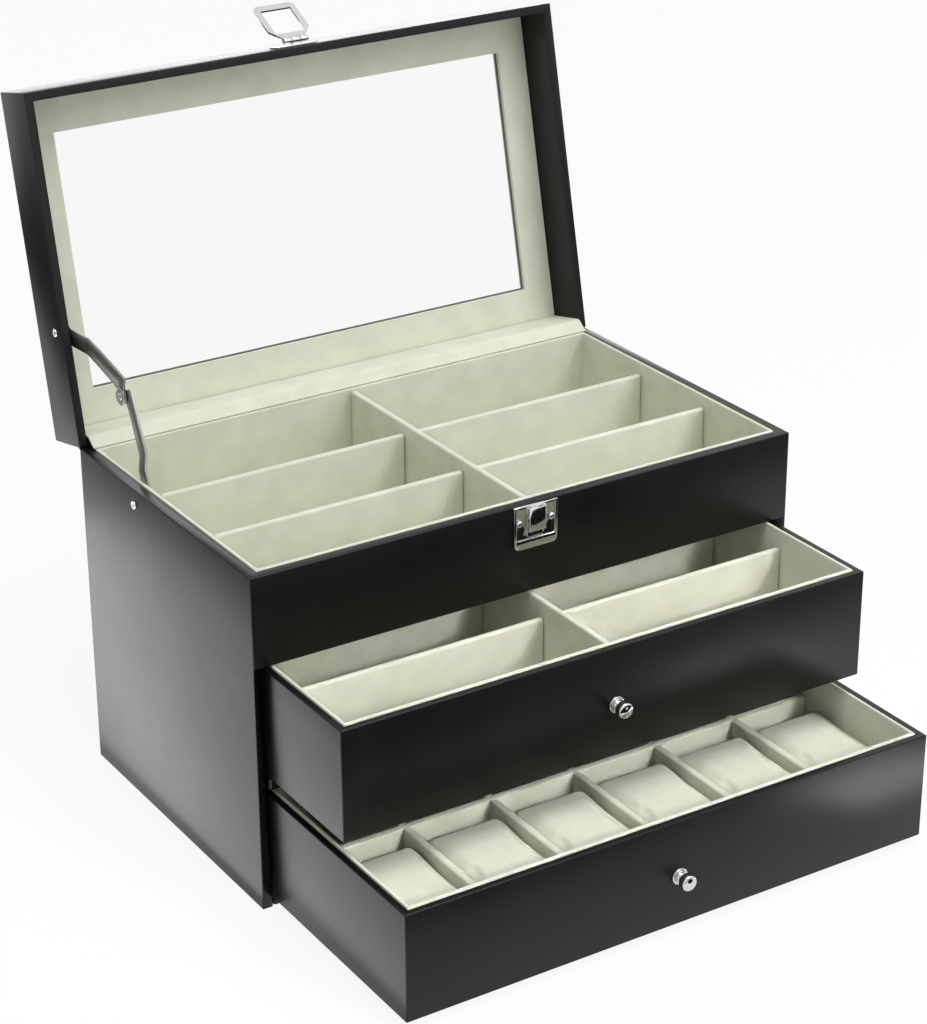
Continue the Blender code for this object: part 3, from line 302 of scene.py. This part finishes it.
wrapped_case = add_piece(
    "wrapped_case", wrap, black_skin, "case", "black_leatherette",
    "left_side_panel", "right_side_panel", "back_panel", "upper_front_rail")


# The tray under the lid: velvet over card, in a greenish ivory short pile.
# Its lining has a soft lip, and padded dividers part it into six places.
def ivory_velvet(name):
    cloth = bpy.data.materials.new(name)
    cloth.use_nodes = True
    nodes, links = cloth.node_tree.nodes, cloth.node_tree.links
    shader = nodes["Principled BSDF"]
    shader.inputs["Roughness"].default_value = 0.92
    shader.inputs["Specular IOR Level"].default_value = 0.15
    shader.inputs["Sheen Weight"].default_value = 0.35
    shader.inputs["Sheen Roughness"].default_value = 0.4
    shader.inputs["Sheen Tint"].default_value = (0.95, 0.96, 0.86, 1.0)
    where = nodes.new("ShaderNodeTexCoord")
    brushing = nodes.new("ShaderNodeTexNoise")
    brushing.inputs["Scale"].default_value = 60.0
    brushing.inputs["Detail"].default_value = 6.0
    pile = nodes.new("ShaderNodeTexNoise")
    pile.inputs["Scale"].default_value = 2600.0
    pile.inputs["Detail"].default_value = 2.0
    shade = nodes.new("ShaderNodeValToRGB")
    shade.color_ramp.elements[0].position = 0.32
    shade.color_ramp.elements[0].color = (0.70, 0.71, 0.585, 1.0)
    shade.color_ramp.elements[1].position = 0.7
    shade.color_ramp.elements[1].color = (0.78, 0.79, 0.665, 1.0)
    fleck = nodes.new("ShaderNodeMix")
    fleck.data_type = "RGBA"
    fleck.blend_type = "MULTIPLY"
    fleck.inputs["Factor"].default_value = 0.16
    bump = nodes.new("ShaderNodeBump")
    bump.inputs["Strength"].default_value = 0.5
    bump.inputs["Distance"].default_value = 0.0002
    links.new(where.outputs["Object"], brushing.inputs["Vector"])
    links.new(where.outputs["Object"], pile.inputs["Vector"])
    links.new(brushing.outputs["Fac"], shade.inputs["Fac"])
    links.new(shade.outputs["Color"], fleck.inputs["A"])
    links.new(pile.outputs["Fac"], fleck.inputs["B"])
    links.new(fleck.outputs["Result"], shader.inputs["Base Color"])
    links.new(pile.outputs["Fac"], bump.inputs["Height"])
    links.new(bump.outputs["Normal"], shader.inputs["Normal"])
    return cloth


velvet = ivory_velvet("ivory_velvet_pile")
for node in sorted(frame["nodes"]):
    if node.startswith("tray_"):
        dress(node, velvet)


# The lid's wrap: the same skin over its top board and its four rims, open towards the case.
# It is shaped shut, round the hinge line, and then turned open.
lid_joint = next(joint for joint in frame["joints"] if joint["name"] == "lid_hinge")
hinge_line = Vector(lid_joint["pos_m"])
LID_OPEN = math.radians(-102.4)
open_lid = Matrix.Translation(hinge_line) @ Matrix.Rotation(LID_OPEN, 4, "X")
LID_TALL, LID_TOP, LID_RIM = 0.0325, 0.003, 0.005
LID_DEEP = case_high.y - case_low.y
lid = cube_between((case_low.x, -LID_DEEP, 0.0), (case_high.x, 0.0, LID_TALL))
lid.normal_update()
bmesh.ops.delete(lid, geom=[face for face in lid.faces if face.normal.z < -0.9], context="FACES")
bmesh.ops.solidify(lid, geom=list(lid.faces), thickness=LID_RIM)
for corner in lid.verts:
    if LID_TALL - LID_RIM - 0.0005 < corner.co.z < LID_TALL - 0.001:
        corner.co.z = LID_TALL - LID_TOP
soften(lid, LEATHER_TURN, TURN_STEPS, [
    edge for edge in lid.edges if edge.calc_face_angle(0.0) > FOLD_ANGLE])
bmesh.ops.transform(lid, matrix=open_lid, verts=lid.verts)
wrapped_lid = add_piece(
    "wrapped_lid", lid, black_skin, "lid", "black_leatherette",
    "lid_top_board", "lid_front_rim", "lid_back_rim", "lid_left_rim", "lid_right_rim")


# The panel in the lid: padded card in the same velvet, with a window cut for the mirror.
# The silvered glass lies behind the window. A thin dark strip on the glass, at the foot
# and on the right, is painted shade for the shadow gap between glass and window; its top and left are cut
# away.
dress("lid_panel", velvet)
silvered = bpy.data.materials.new("silvered_glass")
silvered.use_nodes = True
silver = silvered.node_tree.nodes["Principled BSDF"]
silver.inputs["Base Color"].default_value = (0.93, 0.93, 0.935, 1.0)
silver.inputs["Metallic"].default_value = 1.0
silver_where = silvered.node_tree.nodes.new("ShaderNodeTexCoord")
silver_haze = silvered.node_tree.nodes.new("ShaderNodeTexNoise")
silver_haze.inputs["Scale"].default_value = 12.0
silver_gloss = silvered.node_tree.nodes.new("ShaderNodeMapRange")
silver_gloss.inputs["To Min"].default_value = 0.01
silver_gloss.inputs["To Max"].default_value = 0.03
silvered.node_tree.links.new(silver_where.outputs["Object"], silver_haze.inputs["Vector"])
silvered.node_tree.links.new(silver_haze.outputs["Fac"], silver_gloss.inputs["Value"])
silvered.node_tree.links.new(silver_gloss.outputs["Result"], silver.inputs["Roughness"])
dress("lid_mirror", silvered)
WINDOW_SIDE, WINDOW_END, GLASS_FACE = 0.024, 0.0255, 0.0279
EDGE_WIDE, EDGE_THICK, EDGE_LIFT = 0.0014, 0.0003, 0.0001
gap_shade_strip = bmesh.new()
bmesh.ops.create_grid(gap_shade_strip, x_segments=1, y_segments=1, size=1.0)
bmesh.ops.scale(gap_shade_strip, verts=gap_shade_strip.verts, vec=(
    case_high.x - WINDOW_SIDE, LID_DEEP / 2 - WINDOW_END, 1.0))
bmesh.ops.translate(gap_shade_strip, vec=(0.0, -LID_DEEP / 2, GLASS_FACE - EDGE_LIFT), verts=gap_shade_strip.verts)
bmesh.ops.inset_individual(gap_shade_strip, faces=gap_shade_strip.faces, thickness=EDGE_WIDE)
middle = max(gap_shade_strip.faces, key=lambda face: face.calc_area())
# The strip is kept only at the foot and on the right, where it paints the gap's shade.
shown = [face for face in gap_shade_strip.faces if face is not middle and (
    face.calc_center_median().y > -0.04 or face.calc_center_median().x > 0.1)]
bmesh.ops.delete(gap_shade_strip, geom=[face for face in gap_shade_strip.faces if face not in shown], context="FACES")
bmesh.ops.solidify(gap_shade_strip, geom=list(gap_shade_strip.faces), thickness=EDGE_THICK)
bmesh.ops.transform(gap_shade_strip, matrix=open_lid, verts=gap_shade_strip.verts)
# The strip's dark grey with a random grain is painted shade, not a colour of the glass.
gap_shade_material = bpy.data.materials.new("mirror_gap_shade_paint")
gap_shade_material.use_nodes = True
gap_shade_shader = gap_shade_material.node_tree.nodes["Principled BSDF"]
gap_shade_shader.inputs["Roughness"].default_value = 0.35
gap_shade_where = gap_shade_material.node_tree.nodes.new("ShaderNodeTexCoord")
gap_shade_grain = gap_shade_material.node_tree.nodes.new("ShaderNodeTexNoise")
gap_shade_grain.inputs["Scale"].default_value = 900.0
gap_shade_tone = gap_shade_material.node_tree.nodes.new("ShaderNodeValToRGB")
gap_shade_tone.color_ramp.elements[0].color = (0.07, 0.075, 0.08, 1.0)
gap_shade_tone.color_ramp.elements[1].color = (0.14, 0.145, 0.15, 1.0)
gap_shade_material.node_tree.links.new(gap_shade_where.outputs["Object"], gap_shade_grain.inputs["Vector"])
gap_shade_material.node_tree.links.new(gap_shade_grain.outputs["Fac"], gap_shade_tone.inputs["Fac"])
gap_shade_material.node_tree.links.new(gap_shade_tone.outputs["Color"], gap_shade_shader.inputs["Base Color"])
# The painted shade strip rides on the lid.
add_piece("painted_shade_mirror_gap", gap_shade_strip, gap_shade_material, "lid", "mirror_glass")


# The velvet flap over the hinge: one piece of cloth, glued along the lid's lower rim,
# that comes over its edge and down to the lip of the tray. It is shaped as it lies with the lid open.
def strip_of_cloth(path, half_width, thickness, steps=36):
    cloth = bmesh.new()
    row = [cloth.verts.new((-half_width, point.y, point.z)) for point in path]
    line = [cloth.edges.new(pair) for pair in zip(row, row[1:])]
    bmesh.ops.spin(
        cloth, geom=row + line, cent=(0.0, 0.0, 0.0), axis=(1.0, 0.0, 0.0),
        dvec=(2 * half_width / steps, 0.0, 0.0), angle=0.0, steps=steps)
    bmesh.ops.recalc_face_normals(cloth, faces=cloth.faces)
    bmesh.ops.solidify(cloth, geom=list(cloth.faces), thickness=thickness)
    return cloth


flap_path = [open_lid @ Vector((0.0, -0.0060, z)) for z in (0.0244, 0.020, 0.015, 0.010, 0.006, 0.003, 0.001)]
flap_path += [Vector((0.0, hinge_line.y + back, hinge_line.z + up)) for back, up in (
    (0.0003, 0.0059), (-0.0008, 0.0056), (-0.0020, 0.0048), (-0.0034, 0.0037),
    (-0.0048, 0.0026), (-0.0060, 0.0017), (-0.0070, 0.0012))]
FLAP_HALF_WIDE, FLAP_THICK = 0.1621, 0.0009
flap = strip_of_cloth(flap_path, FLAP_HALF_WIDE, FLAP_THICK)
velvet_flap = add_piece(
    "velvet_hinge_flap", flap, velvet, None, "ivory_velvet", "hinge_flap_lid", "hinge_flap_fold")
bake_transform(velvet_flap)


# The leather spine outside the hinge: a strip glued across the seam of case and lid,
# shaped as it lies with the lid open, folded inwards at the seam.
spine_path = [Vector((0.0, hinge_line.y + 0.0001, hinge_line.z - drop)) for drop in (
    0.0236, 0.018, 0.012, 0.006, 0.003)]
spine_path += [Vector((0.0, hinge_line.y + 0.0007, hinge_line.z - 0.0017)),
               Vector((0.0, hinge_line.y + 0.0018, hinge_line.z - 0.0010))]
spine_path += [open_lid @ Vector((0.0, 0.0001, z)) for z in (0.0034, 0.006, 0.012, 0.018, 0.0233)]
SPINE_HALF_WIDE, SPINE_THICK = 0.1670, 0.0008
spine = strip_of_cloth(spine_path, SPINE_HALF_WIDE, -SPINE_THICK)
leather_spine = add_piece(
    "leather_hinge_spine", spine, black_skin, None, "black_leatherette", "hinge_tape_case", "hinge_tape_lid")
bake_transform(leather_spine)


# The catch on the case: a pressed plate with a rolled border, held by two domed rivets,
# with a hook for the loop. Plate, leaf, loop and rivets are chromed steel.
def plated(name, colour, low, high, grain):
    metal = bpy.data.materials.new(name)
    metal.use_nodes = True
    nodes, links = metal.node_tree.nodes, metal.node_tree.links
    shader = nodes["Principled BSDF"]
    shader.inputs["Base Color"].default_value = (*colour, 1.0)
    shader.inputs["Metallic"].default_value = 1.0
    where = nodes.new("ShaderNodeTexCoord")
    smudge = nodes.new("ShaderNodeTexNoise")
    smudge.inputs["Scale"].default_value = 300.0
    smudge.inputs["Detail"].default_value = 4.0
    gloss = nodes.new("ShaderNodeMapRange")
    gloss.inputs["To Min"].default_value = low
    gloss.inputs["To Max"].default_value = high
    ripple = nodes.new("ShaderNodeBump")
    ripple.inputs["Strength"].default_value = grain
    ripple.inputs["Distance"].default_value = 0.0002
    links.new(where.outputs["Object"], smudge.inputs["Vector"])
    links.new(smudge.outputs["Fac"], gloss.inputs["Value"])
    links.new(gloss.outputs["Result"], shader.inputs["Roughness"])
    links.new(smudge.outputs["Fac"], ripple.inputs["Height"])
    links.new(ripple.outputs["Normal"], shader.inputs["Normal"])
    return metal


def pressed(name, node, material, body, slot, radius, steps):
    """The node's own solid with its stamped edges rolled over."""
    shape = bmesh.new()
    shape.from_mesh(frame["nodes"][node].data)
    bmesh.ops.remove_doubles(shape, verts=shape.verts, dist=0.00001)
    bmesh.ops.dissolve_limit(
        shape, angle_limit=math.radians(1.0), verts=list(shape.verts), edges=list(shape.edges))
    soften(shape, radius, steps, [edge for edge in shape.edges if edge.calc_face_angle(0.0) > 0.6])
    return add_piece(name, shape, material, body, slot, node)


def turned(profile, place, out, steps=40):
    """A lathe piece: (radius, height) pairs spun round an axis that points out of its seat."""
    shape = bmesh.new()
    points = [shape.verts.new((radius, 0.0, height)) for radius, height in profile]
    line = [shape.edges.new(pair) for pair in zip(points, points[1:])]
    bmesh.ops.spin(shape, geom=points + line, cent=(0.0, 0.0, 0.0), axis=(0.0, 0.0, 1.0),
                   angle=math.tau, steps=steps, use_merge=True)
    bmesh.ops.remove_doubles(shape, verts=shape.verts, dist=0.00001)
    turn = Vector((0.0, 0.0, 1.0)).rotation_difference(Vector(out)).to_matrix()
    bmesh.ops.rotate(shape, cent=(0.0, 0.0, 0.0), matrix=turn, verts=shape.verts)
    bmesh.ops.translate(shape, vec=place, verts=shape.verts)
    return shape


chrome = plated("bright_chrome_plate", (0.66, 0.66, 0.67), 0.04, 0.12, 0.1)
pressed("pressed_catch", "catch_plate", chrome, "case", "bright_chrome", 0.00022, 2)
DOME = ((0.0, -0.003), (0.0009, -0.003), (0.0009, 0.0), (0.0020, 0.0), (0.0020, 0.00018),
        (0.00185, 0.00045), (0.0016, 0.0007), (0.0012, 0.00093), (0.0007, 0.00106), (0.0, 0.0011))
for side in ("left", "right"):
    low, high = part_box("catch_rivet_" + side)
    seat = ((low.x + high.x) / 2, low.y + 0.0011, (low.z + high.z) / 2)
    add_piece("domed_catch_rivet_" + side, turned(DOME, seat, (0.0, -1.0, 0.0)), chrome,
              "case", "bright_chrome", "catch_rivet_" + side)


# The hasp: a leaf riveted to the lid's front rim, a steel pin through its rolled knuckle,
# and the loop that swings on the pin and drops over the catch's hook.
pressed("rolled_hasp_leaf", "hasp_leaf", chrome, "lid", "bright_chrome", 0.0002, 2)
pressed("pressed_hasp_loop", "hasp_loop", chrome, "hasp_loop", "bright_chrome", 0.00048, 3)
nickel = plated("brushed_nickel_plate", (0.35, 0.34, 0.325), 0.24, 0.36, 0.15)
pressed("hasp_pin_rod", "hasp_pin", nickel, "lid", "brushed_nickel", 0.0002, 2)


# The lid's stay: two links of nickel-plated strip, joggled past the tray's lip,
# on hollow rivets through the case's side, the lid's rim and the knee.
for name, node, body in (("lower_stay_strip", "stay_lower_link", "stay_lower"),
                         ("upper_stay_strip", "stay_upper_link", "stay_upper")):
    pressed(name, node, nickel, body, "brushed_nickel", 0.00022, 2)


def hollow_rivet(radius, rise, shank_radius, shank):
    """The profile of a rivet whose head is rolled over round a small hole."""
    return ((0.0, -shank), (shank_radius, -shank), (shank_radius, 0.0), (radius, 0.0),
            (radius, rise * 0.35), (radius * 0.93, rise * 0.75), (radius * 0.8, rise),
            (radius * 0.62, rise), (radius * 0.5, rise * 0.8), (radius * 0.44, rise * 0.35),
            (radius * 0.3, rise * 0.15), (0.0, rise * 0.1))


low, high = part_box("stay_knee_rivet")
knee_seat = (low.x + 0.0009, (low.y + high.y) / 2, (low.z + high.z) / 2)
knee = turned(hollow_rivet(0.0025, 0.0009, 0.0011, high.x - low.x - 0.0018), knee_seat, (-1.0, 0.0, 0.0))
inner = turned(((0.0, 0.0), (0.002, 0.0), (0.002, 0.0005), (0.0015, 0.0009), (0.0, 0.0009)),
               (high.x - 0.0009, *knee_seat[1:]), (1.0, 0.0, 0.0))
inner_mesh = bpy.data.meshes.new("knee_inner_head")
inner.to_mesh(inner_mesh)
inner.free()
knee.from_mesh(inner_mesh)
add_piece("hollow_knee_rivet", knee, nickel, "stay_lower", "brushed_nickel", "stay_knee_rivet")
EYE = ((0.0, 0.0), (0.0050, 0.0), (0.0052, 0.0001), (0.0052, 0.0004), (0.0050, 0.0006),
       (0.0046, 0.0006), (0.0043, 0.0003), (0.0, 0.0003))
eye = turned(EYE, (knee_seat[0] + 0.0001, *knee_seat[1:]), (-1.0, 0.0, 0.0), 48)
add_piece("rolled_knee_eye", eye, nickel, "stay_upper", "brushed_nickel")
for name, node, body in (("hollow_case_rivet", "stay_case_rivet", "case"),
                         ("hollow_lid_rivet", "stay_lid_rivet", "lid")):
    low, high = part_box(node)
    seat = (low.x + 0.0008, (low.y + high.y) / 2, (low.z + high.z) / 2)
    shape = turned(hollow_rivet(0.0024, 0.0008, 0.0011, high.x - low.x - 0.0008), seat, (-1.0, 0.0, 0.0))
    add_piece(name, shape, chrome, body, "bright_chrome", node)


# The drawers: boxes wrapped in the same leatherette, lined with velvet on walls and floor.
# The lining stands a little above the board all round, as a soft pale lip.
DRAWER_WALL, DRAWER_FLOOR = 0.004, 0.0035
TUB_WALL, TUB_GLUE, TUB_FLOOR, TUB_LIP = 0.002, 0.00005, 0.00025, 0.0008
for drawer in ("middle_drawer", "bottom_drawer"):
    low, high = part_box(drawer + "_box")
    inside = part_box(drawer + "_lining")
    skin = cube_between(low, high)
    skin.normal_update()
    bmesh.ops.delete(skin, geom=[face for face in skin.faces if face.normal.z > 0.9], context="FACES")
    bmesh.ops.solidify(skin, geom=list(skin.faces), thickness=DRAWER_WALL)
    for corner in skin.verts:
        if low.z + 0.001 < corner.co.z < high.z - 0.001:
            corner.co.z = low.z + DRAWER_FLOOR
    soften(skin, LEATHER_TURN, TURN_STEPS, [
        edge for edge in skin.edges if edge.calc_face_angle(0.0) > FOLD_ANGLE])
    add_piece("wrapped_" + drawer, skin, black_skin, drawer, "black_leatherette", drawer + "_box")
    tub = cube_between((inside[0].x, inside[0].y, low.z + DRAWER_FLOOR + TUB_GLUE), inside[1])
    tub.normal_update()
    bmesh.ops.delete(tub, geom=[face for face in tub.faces if face.normal.z > 0.9], context="FACES")
    bmesh.ops.solidify(tub, geom=list(tub.faces), thickness=TUB_WALL)
    for corner in tub.verts:
        if low.z + 0.004 < corner.co.z < inside[1].z - 0.001:
            corner.co.z = low.z + DRAWER_FLOOR + TUB_FLOOR
    lip = [edge for edge in tub.edges if edge.calc_face_angle(0.0) > 0.5 and all(
        corner.co.z > inside[1].z - 0.0001 for corner in edge.verts)]
    soften(tub, TUB_LIP, TURN_STEPS, lip)
    add_piece(drawer + "_velvet_tub", tub, velvet, drawer, "ivory_velvet", drawer + "_lining")
for node in sorted(frame["nodes"]):
    if node.startswith(("middle_drawer_divider", "middle_drawer_centre", "watch_divider", "watch_cross")):
        dress(node, velvet)


# The watch pillows: foam blocks covered in the same velvet, one for each front place.
# They are blown up a little as cloth, so that their sides crown and their corners stay tight.
PILLOW_SIDE, PILLOW_END, PILLOW_CROWN = 0.0004, 0.0006, 0.0016
PILLOW_CORNER, PILLOW_EDGE, PILLOW_VOXEL = 0.0045, 0.0022, 0.0017
PILLOW_SWELL, PILLOW_CAP, PILLOW_DENT = 5.0, 0.0013, 0.0005


def soft_pillow(node, swell, cap):
    low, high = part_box(node)
    source = cube_between(
        (low.x - PILLOW_SIDE, low.y + PILLOW_END, low.z),
        (high.x + PILLOW_SIDE, high.y - PILLOW_END, high.z - PILLOW_CROWN))
    uprights = [edge for edge in source.edges if abs(edge.verts[0].co.z - edge.verts[1].co.z) > 0.01]
    soften(source, PILLOW_CORNER, 4, uprights)
    crown = [edge for edge in source.edges if min(corner.co.z for corner in edge.verts) > high.z - 0.002]
    soften(source, PILLOW_EDGE, 3, crown)
    mesh = bpy.data.meshes.new(node + "_foam")
    source.to_mesh(mesh)
    source.free()
    pillow = bpy.data.objects.new(node + "_foam", mesh)
    scene.collection.objects.link(pillow)
    remesh = pillow.modifiers.new("remesh", "REMESH")
    remesh.mode = "VOXEL"
    remesh.voxel_size = PILLOW_VOXEL
    settle(pillow)
    start = [corner.co.copy() for corner in pillow.data.vertices]
    cover = pillow.modifiers.new("cover", "CLOTH")
    cover.settings.effector_weights.gravity = 0.0
    cover.settings.use_pressure = True
    cover.settings.uniform_pressure_force = swell
    cover.point_cache.frame_start, cover.point_cache.frame_end = 1, 16
    for frame_number in range(1, 17):
        scene.frame_set(frame_number)
    settle(pillow)
    scene.frame_set(1)
    for corner, from_place in zip(pillow.data.vertices, start):
        moved = corner.co - from_place
        if moved.length > cap:
            corner.co = from_place + moved.normalized() * cap
        corner.co.z = max(corner.co.z, low.z + 0.0001)
    return pillow


def settle(piece):
    """Applies a piece's modifiers to its mesh."""
    bpy.context.view_layer.update()
    shown = piece.evaluated_get(bpy.context.evaluated_depsgraph_get())
    mesh = bpy.data.meshes.new_from_object(shown)
    piece.modifiers.clear()
    piece.data = mesh


first_pillow = soft_pillow("watch_pillow_1", PILLOW_SWELL, PILLOW_CAP)
first_low, first_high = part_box("watch_pillow_1")
first_low, first_high = first_low.copy(), first_high.copy()
pillow_form = bmesh.new()
pillow_form.from_mesh(first_pillow.data)
bpy.data.objects.remove(first_pillow, do_unlink=True)
for number in range(1, 7):
    node = "watch_pillow_" + str(number)
    low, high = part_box(node)
    form = pillow_form.copy()
    shift = low - first_low
    middle_x = (low.x + high.x) / 2
    for corner in form.verts:
        corner.co += shift
        dent = noise.noise(Vector((corner.co.x * 22.0, corner.co.y * 22.0, number * 3.7)))
        if corner.co.z > high.z - 0.012:
            corner.co.z += PILLOW_DENT * dent
    cushion = add_piece("velvet_" + node, form, velvet, "bottom_drawer", "ivory_velvet", node)
    finer = cushion.modifiers.new("finer", "SUBSURF")
    finer.levels = finer.render_levels = 1
pillow_form.free()


# The knobs: turned brass, chromed, each with a stepped collar, a narrow neck
# and a button head. A screw from inside the drawer's front holds it.
def quarter(centre_radius, centre_height, radius, start, end, steps=5):
    turn = math.radians(end - start) / steps
    return [(centre_radius + radius * math.cos(math.radians(start) + turn * i),
             centre_height + radius * math.sin(math.radians(start) + turn * i)) for i in range(steps + 1)]


KNOB = [(0.0, 0.0), (0.0046, 0.0)] + quarter(0.0041, 0.0012, 0.0005, 0, 90, 4)
KNOB += [(0.0039, 0.0017)] + quarter(0.0034, 0.0023, 0.0004, 0, 90, 4) + [(0.0029, 0.0028)]
KNOB += quarter(0.0032, 0.0035, 0.0008, 240, 130, 4) + [(0.0026, 0.0044)]
KNOB += quarter(0.00245, 0.0063, 0.0019, -90, 0, 6) + quarter(0.00315, 0.0088, 0.0012, 0, 90, 6)
KNOB += [(0.0024, 0.0102), (0.0016, 0.01045), (0.0008, 0.01065), (0.0, 0.0107)]
for drawer in ("middle_drawer", "bottom_drawer"):
    low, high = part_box(drawer + "_knob")
    seat = (0.0, high.y, (low.z + high.z) / 2)
    add_piece("turned_" + drawer + "_knob", turned(KNOB, seat, (0.0, -1.0, 0.0), 56), chrome,
              drawer, "bright_chrome", drawer + "_knob")
